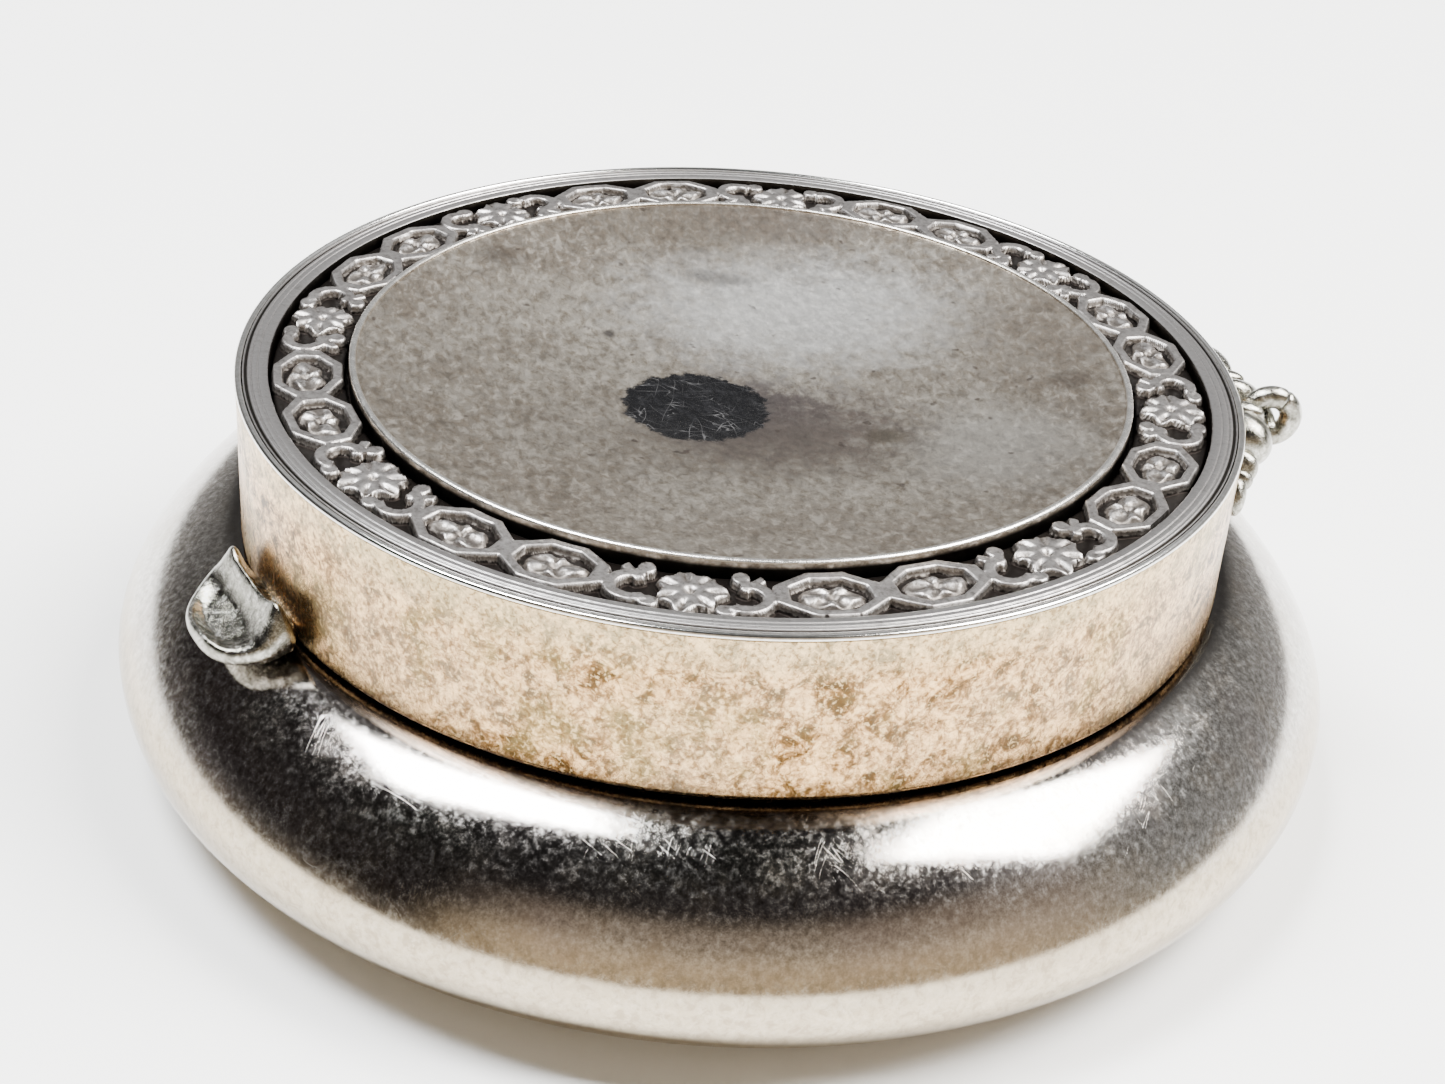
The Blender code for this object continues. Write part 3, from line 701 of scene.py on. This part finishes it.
def relief(x, y, rng, length):
    """Height 0 to 1 of one unit of the border at (x, y) in millimetres: x along it, y outwards."""
    height = np.full_like(x, 0.16)
    for side in (-1, 1):
        centre = side * (1.86 + rng.normal(0, 0.04))
        px, py = x - centre, y + rng.normal(0, 0.04)
        corners = (np.abs(px) / 2.0 + np.abs(py) / 1.4 - 1.36) * 1.1
        outline = np.maximum(oval(px, py, 2.0, 1.38, 4.0), corners)
        height = np.where(outline < -0.3, 0.26, height)
        band = np.abs(outline + 0.22) - 0.22
        height = np.maximum(height, solid(band))
        turn = np.arctan2(py, px) + rng.uniform(0, 2)
        scallop = 1 + 0.10 * np.cos(5 * turn) + 0.06 * np.cos(3 * turn)
        reach = np.hypot(px / 1.18, (py - 0.05) / 0.66) * scallop
        petals = 0.16 * np.cos(5 * turn + 1.0) * smooth_step(reach, 0.2, 0.5)
        pit = np.exp(-((px - 0.1) ** 2 + (py - 0.05) ** 2) / 0.03)
        height = np.maximum(height, solid((reach - 1) * 0.66, 0.24) * (0.70 + petals - 0.4 * pit))
    c = np.mod(x, length) - length / 2
    turn = np.arctan2(y - 0.02, c)
    edge = 1.2 * (1 + 0.11 * np.cos(7 * turn + 0.6) + 0.06 * np.cos(3 * turn + rng.uniform(0, 1)))
    reach = np.hypot(c, (y - 0.02) * 1.0) / edge
    veins = 0.3 * np.abs(np.cos(3.5 * turn + 0.3)) ** 8 * smooth_step(reach, 0.3, 0.6)
    pit = np.exp(-(c ** 2 + y ** 2) / 0.03)
    height = np.maximum(height, solid((reach - 1) * 1.1) * (0.94 - veins - 0.5 * pit))
    for side in (-1, 1):
        px, py = (c - side * 1.98) * side, y - 0.25
        angle = np.degrees(np.arctan2(py, px))
        arc = np.abs(np.hypot(px, py) - 0.74) - 0.25
        height = np.maximum(height, solid(np.where(np.abs(angle - 10) < 122, arc, 1.0)))
        ball = np.hypot((c - side * 1.74), y + 0.95) - 0.38
        height = np.maximum(height, solid(ball) * 0.98)
        stalk = np.maximum(np.abs((c - side * 2.2) * side * 0.7 + (y + 0.6) * 0.7) - 0.22,
                           np.hypot(c - side * 2.1, y + 0.68) - 0.6)
        height = np.maximum(height, solid(stalk) * 0.92)
        bud = np.hypot((c - side * 1.3) * 0.85, y - 1.02) - 0.34
        height = np.maximum(height, solid(bud) * 0.9)
    return height


def make_gallery(finish):
    """The cast border as a fine raised surface on a closed ring."""
    middle = (GALLERY_INNER + GALLERY_OUTER) / 2
    around, across = GALLERY_UNITS * 212, 52
    angles = 2 * np.pi * np.arange(around) / around
    radii = np.linspace(GALLERY_INNER, GALLERY_OUTER, across)
    grid_angle, grid_radius = np.meshgrid(angles, radii, indexing="ij")
    length = 2 * np.pi * middle / GALLERY_UNITS / MM
    flat = np.stack([grid_radius.ravel() * np.cos(grid_angle.ravel()),
                     grid_radius.ravel() * np.sin(grid_angle.ravel()), np.zeros(grid_angle.size)], 1)
    warp_x = waves(flat, 5 * MM, SEED + 3).reshape(grid_angle.shape) * 0.09
    warp_y = waves(flat, 4 * MM, SEED + 4).reshape(grid_angle.shape) * 0.07
    turn = np.mod(grid_angle - GALLERY_PHASE + np.pi / GALLERY_UNITS, 2 * np.pi)
    unit = (turn // (2 * np.pi / GALLERY_UNITS)).astype(int)
    along = (turn - (unit + 0.5) * 2 * np.pi / GALLERY_UNITS) * middle / MM
    height = np.zeros_like(along)
    for index in range(GALLERY_UNITS):
        rng = np.random.default_rng(SEED + 20 + index)
        inside = unit == index
        outwards = (grid_radius[inside] - middle) / MM + warp_y[inside]
        height[inside] = relief(along[inside] + warp_x[inside], outwards, rng, length)
    uneven = waves(flat, 1.6 * MM, SEED + 5).reshape(height.shape)
    floor = GALLERY_TOP - RELIEF_DEPTH
    rise = GALLERY_TOP + 0.03 * MM - floor
    z = floor + rise * height * (0.97 + 0.03 * uneven) + 0.02 * MM * uneven * (1 - height)
    side = smooth_step(grid_radius, GALLERY_INNER, GALLERY_INNER + 0.08 * MM)
    side = side * smooth_step(-grid_radius, -GALLERY_OUTER, -GALLERY_OUTER + 0.08 * MM)
    z = floor + (z - floor) * side
    x, y = grid_radius * np.cos(grid_angle), grid_radius * np.sin(grid_angle)
    verts = np.stack([x, y, z], 2).reshape(-1, 3)
    ends = []
    for radius in (GALLERY_INNER, GALLERY_OUTER):
        foot = np.full(around, CHANNEL_FLOOR)
        ends.append(np.stack([radius * np.cos(angles), radius * np.sin(angles), foot], 1))
    start = len(verts)
    verts = np.concatenate([verts, *ends])
    faces = []
    for i in range(around):
        after = (i + 1) % around
        for j in range(across - 1):
            faces.append((i * across + j, i * across + j + 1, after * across + j + 1, after * across + j))
        inner, inner_next = start + i, start + after
        outer, outer_next = start + around + i, start + around + after
        last = across - 1
        faces.append((i * across, after * across, inner_next, inner))
        faces.append((i * across + last, outer, outer_next, after * across + last))
        faces.append((inner, inner_next, outer_next, outer))
    gallery = add_object("gallery", verts, faces, 75.0)
    gallery.data.materials.append(finish)
    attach(gallery, "lid")
    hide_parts("gallery_ring")


def make_dish(finish, lining):
    centre = DISH_TOP - DISH_DEPTH
    reach = DISH_RADIUS - 0.35 * MM
    rings = np.linspace(0, reach, 34)

    def bowl(radius):
        return centre + (DISH_DEPTH - 0.12 * MM) * (radius / reach) ** 2

    foot = CHANNEL_FLOOR
    inner = DISH_RADIUS - 0.45 * MM
    top = [(radius, bowl(radius)) for radius in rings]
    edge = []
    for step in range(9):
        angle = math.pi * (1 - step / 8)
        radius = DISH_RADIUS - 0.15 * MM + 0.15 * MM * math.cos(angle)
        edge.append((radius, DISH_TOP - 0.12 * MM + 0.12 * MM * math.sin(angle)))
    skirt = [(DISH_RADIUS, foot), (inner, foot), (inner, bowl(inner) - 0.55 * MM)]
    under = [(radius, bowl(radius) - 0.45 * MM) for radius in reversed(rings[:-2])]

    def wobble(verts):
        away = np.linalg.norm(verts[:, :2], axis=1)
        share = 1 - smooth_step(away, reach - 3 * MM, reach)
        verts[:, 2] += waves(verts * np.array([1, 1, 0]), 12 * MM, SEED + 6) * share * 0.05 * MM
        return verts

    dish = turned("dish", top + edge + skirt + under, closed=False, wobble=wobble, sharp=60.0)
    dish.data.materials.append(finish)
    line(dish, lining, faces_down)
    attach(dish, "lid")
    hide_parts("centre_dish")


def make_thumb(finish):
    """A cast tongue: a rib with a knob at each end, then a hollow inside a thick rolled lip."""
    low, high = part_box("thumb_piece")
    half_width = (high.x - low.x) / 2 / MM
    reach = (-low.y - LID_RADIUS) / MM
    top_level = high.z / MM - 0.45
    around, across = 144, 46
    angles = 2 * np.pi * np.arange(around) / around
    middle = 0.36 * reach
    out = np.sin(angles)
    rim_u = half_width * np.sign(np.cos(angles)) * np.abs(np.cos(angles)) ** 0.72
    outer_side, wall_side = (reach - middle) * np.abs(out) ** 0.9, -(middle + 0.1) * np.abs(out) ** 0.5
    rim_v = middle + np.where(out > 0, outer_side, wall_side)
    rim_u = rim_u * (1 - 0.14 * smooth_step(rim_v, 0.4 * reach, reach))
    rim_u = rim_u * (1 - 0.12 * smooth_step(-rim_v, -0.6, 0.0))
    shares = 1 - (1 - np.linspace(0, 1, across)) ** 1.5
    ripple = np.random.default_rng(SEED + 9).uniform(0, 6, 4)
    rows = []
    for upper in (True, False):
        for share in (shares if upper else shares[::-1][1:]):
            u, v = rim_u * share, middle + (rim_v - middle) * share
            slope = top_level - 0.95 * smooth_step(v, 0.5, reach)
            rib_line = 0.82 + 0.04 * np.cos(1.3 * u + ripple[0])
            rib = 0.40 * np.exp(-((v - rib_line) / 0.33) ** 2) * (0.92 + 0.06 * np.cos(2.2 * u + ripple[1]))
            knobs = 0.34 * np.exp(-((np.abs(u) - 2.3) / 0.55) ** 2 - ((v - 0.85) / 0.5) ** 2)
            valley = -0.6 * np.exp(-((v - 0.1) / 0.4) ** 2)
            hollow = -0.5 * solid(oval(u, v - 1.95, 2.2, 0.85, 2.2), 0.7)
            lumps = 0.03 * np.cos(1.9 * u + 1.3 * v + ripple[2])
            lumps = lumps + 0.008 * np.cos(4.1 * v - 3.2 * u + ripple[3])
            surface = slope + rib + knobs + valley + hollow + lumps
            under = slope - 1.65 + 0.45 * smooth_step(v, 0.6, reach) + 0.2 * share ** 2
            centre = (slope + under) / 2
            round_off = (1 - share ** 9) ** 0.5
            z = centre + ((surface if upper else under) - centre) * round_off
            x = u * MM
            y = -(np.sqrt(LID_RADIUS ** 2 - x ** 2) + v * MM)
            rows.append(np.stack([x, y, z * MM], 1))
    rows = rows[1:-1]
    count = len(rows)
    centre_y = -(LID_RADIUS + middle * MM)
    ends = [(0.0, centre_y, rows[0][:, 2].mean()), (0.0, centre_y, rows[-1][:, 2].mean())]
    verts = np.concatenate([*rows, ends])
    faces = []
    for i in range(around):
        after = (i + 1) % around
        faces.append((count * around, after, i))
        faces.append((count * around + 1, (count - 1) * around + i, (count - 1) * around + after))
        for j in range(count - 1):
            faces.append((j * around + i, j * around + after, (j + 1) * around + after, (j + 1) * around + i))
    thumb = add_object("thumb_tongue", verts, faces, 80.0)
    thumb.data.materials.append(finish)
    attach(thumb, "lid")
    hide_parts("thumb_piece")


def make_lug(finish):
    """Beads and leaves each side of a slot, joined by the bar that the jump ring hangs on."""
    height = BAR.z - 0.3 * MM

    def dents(depth, seed):
        turns = np.random.default_rng(seed).uniform(0, 6, 3)

        def apply(local):
            x, y, z = local.T
            swell = np.cos(3 * x + turns[0]) * np.cos(2 * z + turns[1])
            swell = swell + 0.5 * np.cos(4 * z - 3 * x + turns[2])
            return local * (1 + depth * swell)[:, None]
        return apply

    pieces = []
    for start, half, depth, rise, drop, lean in LUG_PARTS:
        side = math.copysign(1, start)
        middle = LUG_ANGLE + start * MM / LID_RADIUS
        bent = on_wall(middle, height - drop * MM)

        def place(local, bent=bent, lean=lean * side):
            moved = local.copy()
            moved[:, 2] -= lean * local[:, 0]
            return bent(moved)

        lumps = dents(0.02 if half > 1.4 else 0.05, SEED + 40 + len(pieces))
        pieces.append(pebble(place, (half * MM, depth * MM, rise * MM), 0.85, lumps))
    stand_off = np.array([0, math.hypot(BAR.x, BAR.y) - LID_RADIUS, 0])
    at_bar = on_wall(LUG_ANGLE, BAR.z)

    def place_bar(local):
        return at_bar(local + stand_off)

    pieces.append(pebble(place_bar, (1.1 * MM, BAR_RADIUS, BAR_RADIUS), 0.6))
    lug = joined("lug", pieces)
    lug.data.materials.append(finish)
    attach(lug, "lid")
    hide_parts("ring_lug")


def make_ring(finish):
    """The jump ring: round wire bent to a circle, its two ends just apart."""
    low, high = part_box("jump_ring")
    middle = (low + high) / 2
    wire = RING_WIRE
    radius = (high.z - low.z) / 2 - wire
    tangent = Vector((-math.sin(LUG_ANGLE), math.cos(LUG_ANGLE), 0.0))
    radial = Vector((math.cos(LUG_ANGLE), math.sin(LUG_ANGLE), 0.0))
    up = Vector((0.0, 0.0, 1.0))
    steps, sides = 96, 24
    slit = math.radians(1.5)
    verts, faces = [], []
    for i in range(steps + 1):
        angle = math.radians(60) + slit + (2 * math.pi - 2 * slit) * i / steps
        out = radial * math.cos(angle) + up * math.sin(angle)
        squeeze = 0.93 if i in (0, steps) else 1.0
        for k in range(sides):
            turn = 2 * math.pi * k / sides
            reach = radius + wire * squeeze * math.cos(turn)
            verts.append(middle + out * reach + tangent * wire * squeeze * math.sin(turn))
    for i in range(steps):
        for k in range(sides):
            after = (k + 1) % sides
            faces.append((i * sides + k, (i + 1) * sides + k, (i + 1) * sides + after, i * sides + after))
    faces.append(tuple(reversed(range(steps * sides, (steps + 1) * sides))))
    faces.append(tuple(range(sides)))
    ring = add_object("loose_ring", verts, faces)
    ring.data.materials.append(finish)
    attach(ring, "ring")
    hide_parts("jump_ring")


# The hinge

def barrel(name, node, outer, inner, finish, body):
    """A turned tube or pin along the hinge's axis, with eased ends, for a CAD node."""
    low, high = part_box(node)
    half = (high.x - low.x) / 2
    ease = 0.06 * MM
    if inner:
        profile = soften([(inner, half), (outer, half), (outer, -half), (inner, -half)], ease, True)
    else:
        angles = np.linspace(0, math.pi / 2, 8)
        dome = [(outer * math.sin(a), half - outer * 0.35 * (1 - math.cos(a))) for a in angles]
        profile = dome + [(r, -z) for r, z in reversed(dome)]
    obj = turned(name, profile, closed=bool(inner), steps=48)
    middle = Vector(((low.x + high.x) / 2, HINGE.y, HINGE.z))
    obj.data.transform(Matrix.Translation(middle) @ Matrix.Rotation(math.pi / 2, 4, "Y"))
    obj.data.materials.append(finish)
    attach(obj, body)
    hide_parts(node)


def eased(name, node, finish, body):
    """A CAD piece with its sharp edges rounded off."""
    obj = bpy.data.objects.new(name, frame["nodes"][node].data.copy())
    bpy.context.scene.collection.objects.link(obj)
    bm = bmesh.new()
    bm.from_mesh(obj.data)
    bmesh.ops.remove_doubles(bm, verts=bm.verts[:], dist=0.001 * MM)
    sharp = [edge for edge in bm.edges if edge.is_manifold and edge.calc_face_angle() > math.radians(35)]
    bmesh.ops.bevel(bm, geom=sharp, offset=0.12 * MM, segments=4, profile=0.5, affect="EDGES",
                    clamp_overlap=True)
    bm.to_mesh(obj.data)
    bm.free()
    obj.data.shade_smooth()
    obj.data.set_sharp_from_angle(angle=math.radians(50))
    obj.data.materials.clear()
    obj.data.materials.append(finish)
    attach(obj, body)
    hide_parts(node)


def make_hinge(finish, satin):
    barrel("barrel_left", "base_knuckle_left", BARREL_RADIUS, BORE_RADIUS, finish, "base")
    barrel("barrel_right", "base_knuckle_right", BARREL_RADIUS, BORE_RADIUS, finish, "base")
    barrel("barrel_lid", "lid_knuckle", BARREL_RADIUS, BORE_RADIUS, finish, "lid")
    barrel("pin", "hinge_pin", PIN_RADIUS, 0.0, finish, "base")
    eased("bearer", "hinge_bearer", finish, "base")
    eased("leaf", "lid_leaf", satin, "lid")


# Studio

def make_camera():
    """The camera's place and turn, from its azimuth, elevation and distance about the lid's top."""
    data = bpy.data.cameras.new("camera")
    data.lens = CAMERA_LENS
    data.sensor_width = SENSOR_WIDTH
    data.clip_start = 0.001
    data.clip_end = 50.0
    camera = bpy.data.objects.new("camera", data)
    bpy.context.scene.collection.objects.link(camera)
    target = Vector((0.0, 0.0, LID_TOP))
    ahead = Vector((-math.sin(CAMERA_AZIMUTH), math.cos(CAMERA_AZIMUTH), 0.0))
    ahead = ahead * math.cos(CAMERA_ELEVATION) - Vector((0.0, 0.0, math.sin(CAMERA_ELEVATION)))
    place = target - ahead * CAMERA_DISTANCE
    right = ahead.cross(Vector((0.0, 0.0, 1.0))).normalized()
    up = right.cross(ahead)
    look = (ahead + right * math.tan(CAMERA_YAW) + up * math.tan(CAMERA_PITCH)).normalized()
    side = look.cross(Vector((0.0, 0.0, 1.0))).normalized()
    over = side.cross(look)
    turn_x = side * math.cos(CAMERA_ROLL) + over * math.sin(CAMERA_ROLL)
    turn_y = over * math.cos(CAMERA_ROLL) - side * math.sin(CAMERA_ROLL)
    rotation = Matrix((turn_x, turn_y, -look)).transposed().to_4x4()
    camera.matrix_world = Matrix.Translation(place) @ rotation
    bpy.context.scene.camera = camera


def make_floor():
    corners = ((-1, -1), (1, -1), (1, 1), (-1, 1))
    verts = [(x * FLOOR_HALF, y * FLOOR_HALF, -FLOOR_GAP) for x, y in corners]
    floor = add_object("floor", verts, [(0, 1, 2, 3)])
    f = Finish("floor_white", 0.55, 0.0)
    grain = f.noise(0.05, 3.0, 0.5)
    f.finish(f.ramp(grain, (0.3, (0.93, 0.935, 0.94)), (0.7, (0.96, 0.96, 0.955))))
    floor.data.materials.append(f.material)


def softbox(name, azimuth, elevation, distance, size, power, colour):
    """An area light aimed at the box. Azimuth is counted as the camera's: 0 is from -Y."""
    data = bpy.data.lights.new(name, "AREA")
    data.shape = "RECTANGLE"
    data.size, data.size_y = size
    data.energy = power
    data.color = colour
    light = bpy.data.objects.new(name, data)
    bpy.context.scene.collection.objects.link(light)
    a, e = math.radians(azimuth), math.radians(elevation)
    away = Vector((math.sin(a) * math.cos(e), -math.cos(a) * math.cos(e), math.sin(e)))
    light.location = Vector((0.0, 0.0, 0.01)) + away * distance
    light.rotation_mode = "QUATERNION"
    light.rotation_quaternion = away.to_track_quat("Z", "Y")


def make_world():
    """A soft surround: grey behind the box, warm and low in front of it, dark at its sides and overhead."""
    world = bpy.data.worlds.new("studio")
    bpy.context.scene.world = world
    world.use_nodes = True
    nodes, links = world.node_tree.nodes, world.node_tree.links
    coords = nodes.new("ShaderNodeTexCoord")
    split = nodes.new("ShaderNodeSeparateXYZ")
    links.new(coords.outputs["Generated"], split.inputs[0])

    def levels(value, stops):
        ramp = nodes.new("ShaderNodeValToRGB")
        ramp.color_ramp.interpolation = "EASE"
        elements = ramp.color_ramp.elements
        for _ in range(len(stops) - 2):
            elements.new(0.5)
        for element, (position, level) in zip(elements, stops):
            element.position = position
            element.color = (*level, 1.0)
        links.new(value, ramp.inputs["Fac"])
        return ramp.outputs["Color"]

    colour = levels(split.outputs["Z"], WORLD_SIDE)
    for stops, turn, start, full in WORLD_FACES:
        heading = CAMERA_AZIMUTH + turn
        toward = nodes.new("ShaderNodeVectorMath")
        toward.operation = "DOT_PRODUCT"
        toward.inputs[1].default_value = (-math.sin(heading), math.cos(heading), 0.0)
        links.new(coords.outputs["Generated"], toward.inputs[0])
        share = nodes.new("ShaderNodeMapRange")
        share.interpolation_type = "SMOOTHSTEP"
        share.inputs["From Min"].default_value = start
        share.inputs["From Max"].default_value = full
        links.new(toward.outputs["Value"], share.inputs["Value"])
        mix = nodes.new("ShaderNodeMix")
        mix.data_type = "RGBA"
        links.new(share.outputs["Result"], mix.inputs["Factor"])
        links.new(colour, mix.inputs[6])
        links.new(levels(split.outputs["Z"], stops), mix.inputs[7])
        colour = mix.outputs[2]
    links.new(colour, nodes["Background"].inputs["Color"])


def main():
    make_camera()
    make_world()
    make_floor()
    softbox("left_light", CAMERA_SIDE - 97, 66, 0.50, (0.17, 0.24), 8.0, (0.97, 0.99, 1.0))
    softbox("right_light", CAMERA_SIDE + 95, 54, 0.50, (0.28, 0.26), 10.0, (1.0, 0.985, 0.95))
    polished = bowl_silver()
    satin = wall_silver()
    cast = cast_silver()
    lining = inside_silver()
    make_bowl(polished, lining)
    make_collar(lining)
    make_wall(satin)
    make_rim(rim_silver(), edge_silver(), ground_black(), lining)
    make_gallery(relief_silver((GALLERY_TOP - RELIEF_DEPTH) / MM, GALLERY_TOP / MM))
    make_dish(dish_silver(), lining)
    make_thumb(cast)
    make_lug(cast)
    make_ring(cast)
    make_hinge(polished, satin)


main()
